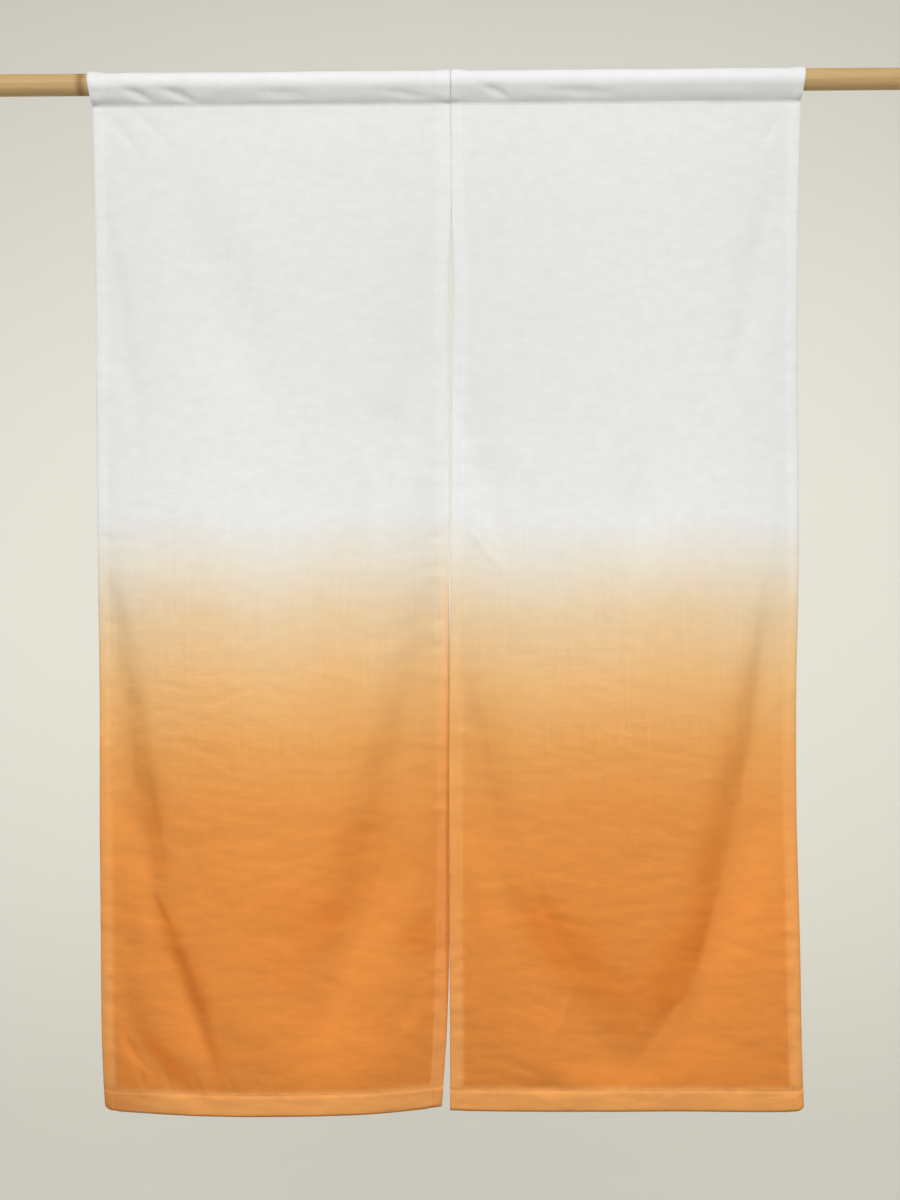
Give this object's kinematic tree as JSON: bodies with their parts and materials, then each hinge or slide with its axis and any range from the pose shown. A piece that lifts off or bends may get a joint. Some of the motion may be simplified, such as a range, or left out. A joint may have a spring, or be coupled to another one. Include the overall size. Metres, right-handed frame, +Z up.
{
  "type": "noren curtain on rod",
  "caption": "Split noren doorway curtain, its cloth shading from white to orange, hung by rod pockets on a plain round wooden rod.",
  "frame": {"origin": "on the rod's axis, halfway along the rod", "axes": "+X along the rod to the right as seen from the front, front of the cloth towards -Y, +Z up; the cloth hangs down -Z"},
  "size_m": [1.2, 0.0525, 1.2048],
  "materials": {
    "rod": "smooth bare wood, lengthwise grain",
    "cloth": "matt slub linen weave, dyed in a gradient from white at the top to orange at the hem"
  },
  "bodies": {
    "root": {"rod": "rod", "panel_left": "cloth", "panel_right": "cloth"}
  },
  "joints": []
}
